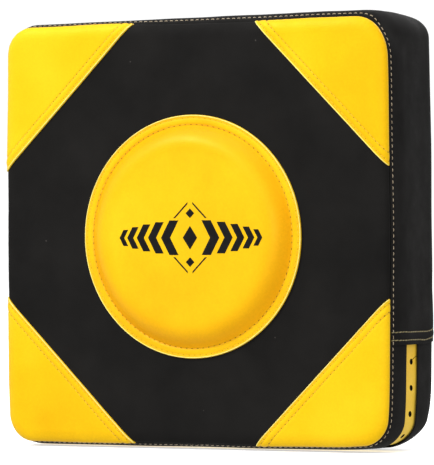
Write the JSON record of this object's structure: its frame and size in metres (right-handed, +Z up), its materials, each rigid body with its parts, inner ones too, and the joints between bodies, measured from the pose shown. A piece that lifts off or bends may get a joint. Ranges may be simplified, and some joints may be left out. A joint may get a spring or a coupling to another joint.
{
  "type": "kick shield",
  "caption": "Square foam kick shield in a stitched leatherette cover, with yellow corner patches, a raised round target, forearm straps, hand grips and a zipped back.",
  "frame": {"origin": "middle of the whole bounding box at its lowest level, where the shield rests on its bottom edge", "axes": "+X to the right of someone who faces the struck face, +Y from the struck face to the straps on the back, +Z up"},
  "size_m": [0.4092, 0.1802, 0.403],
  "materials": {
    "black_leatherette": "matte",
    "yellow_leatherette": "satin",
    "vent_leatherette": "satin",
    "foam": "matte",
    "board": "matte",
    "zip_tape": "matte",
    "zip_coil": "satin",
    "zip_metal": "satin",
    "strap_fabric": "matte",
    "hook_and_loop": "matte",
    "webbing": "matte",
    "grip_rubber": "matte",
    "rivet_metal": "polished"
  },
  "bodies": {
    "pad": {"front_panel": "black_leatherette", "corner_patch_top_left": "yellow_leatherette", "corner_patch_top_right": "yellow_leatherette", "corner_patch_bottom_left": "yellow_leatherette", "corner_patch_bottom_right": "yellow_leatherette", "target_cover": "yellow_leatherette", "target_foam": "foam", "upper_gusset": "black_leatherette", "lower_gusset_front": "black_leatherette", "lower_gusset_rear": "black_leatherette", "vent_strip": "vent_leatherette", "back_panel": "black_leatherette", "back_panel_lower": "black_leatherette", "reinforcement_patches": "black_leatherette", "front_foam": "foam", "core_foam": "foam", "backing_board": "board", "rear_foam": "foam", "zipper_tape_upper": "zip_tape", "zipper_tape_lower": "zip_tape", "zipper_coil_upper": "zip_coil", "zipper_coil_lower": "zip_coil", "zipper_end_stops": "zip_metal", "strap_base_left": "strap_fabric", "strap_base_right": "strap_fabric", "strap_loop_left": "hook_and_loop", "strap_loop_right": "hook_and_loop", "strap_anchor_left": "strap_fabric", "strap_anchor_right": "strap_fabric", "grip_webbing_left": "webbing", "grip_webbing_right": "webbing", "grip_sleeve_left": "grip_rubber", "grip_sleeve_right": "grip_rubber", "grip_rivets": "rivet_metal"},
    "zipper_slider": {"zipper_slider": "zip_metal"},
    "zipper_pull": {"zipper_pull": "zip_metal"},
    "strap_flap_left": {"strap_flap_left": "strap_fabric", "strap_hook_left": "hook_and_loop"},
    "strap_flap_right": {"strap_flap_right": "strap_fabric", "strap_hook_right": "hook_and_loop"}
  },
  "joints": [
    {"name": "strap_flap_left_hinge", "type": "hinge", "parent": "pad", "child": "strap_flap_left", "pos_m": [-0.156, 0.0267, 0.11], "axis": [0, 0, 1], "range_deg": [0, 100]},
    {"name": "strap_flap_right_hinge", "type": "hinge", "parent": "pad", "child": "strap_flap_right", "pos_m": [0.156, 0.0267, 0.11], "axis": [0, 0, -1], "range_deg": [0, 100]},
    {"name": "zipper_slide", "type": "slide", "parent": "pad", "child": "zipper_slider", "axis": [-1, 0, 0], "range_m": [0, 0.286]},
    {"name": "zipper_pull_hinge", "type": "hinge", "parent": "zipper_slider", "child": "zipper_pull", "pos_m": [0.144, 0.0226, 0.05], "axis": [0, 0, -1], "range_deg": [0, 170]}
  ]
}
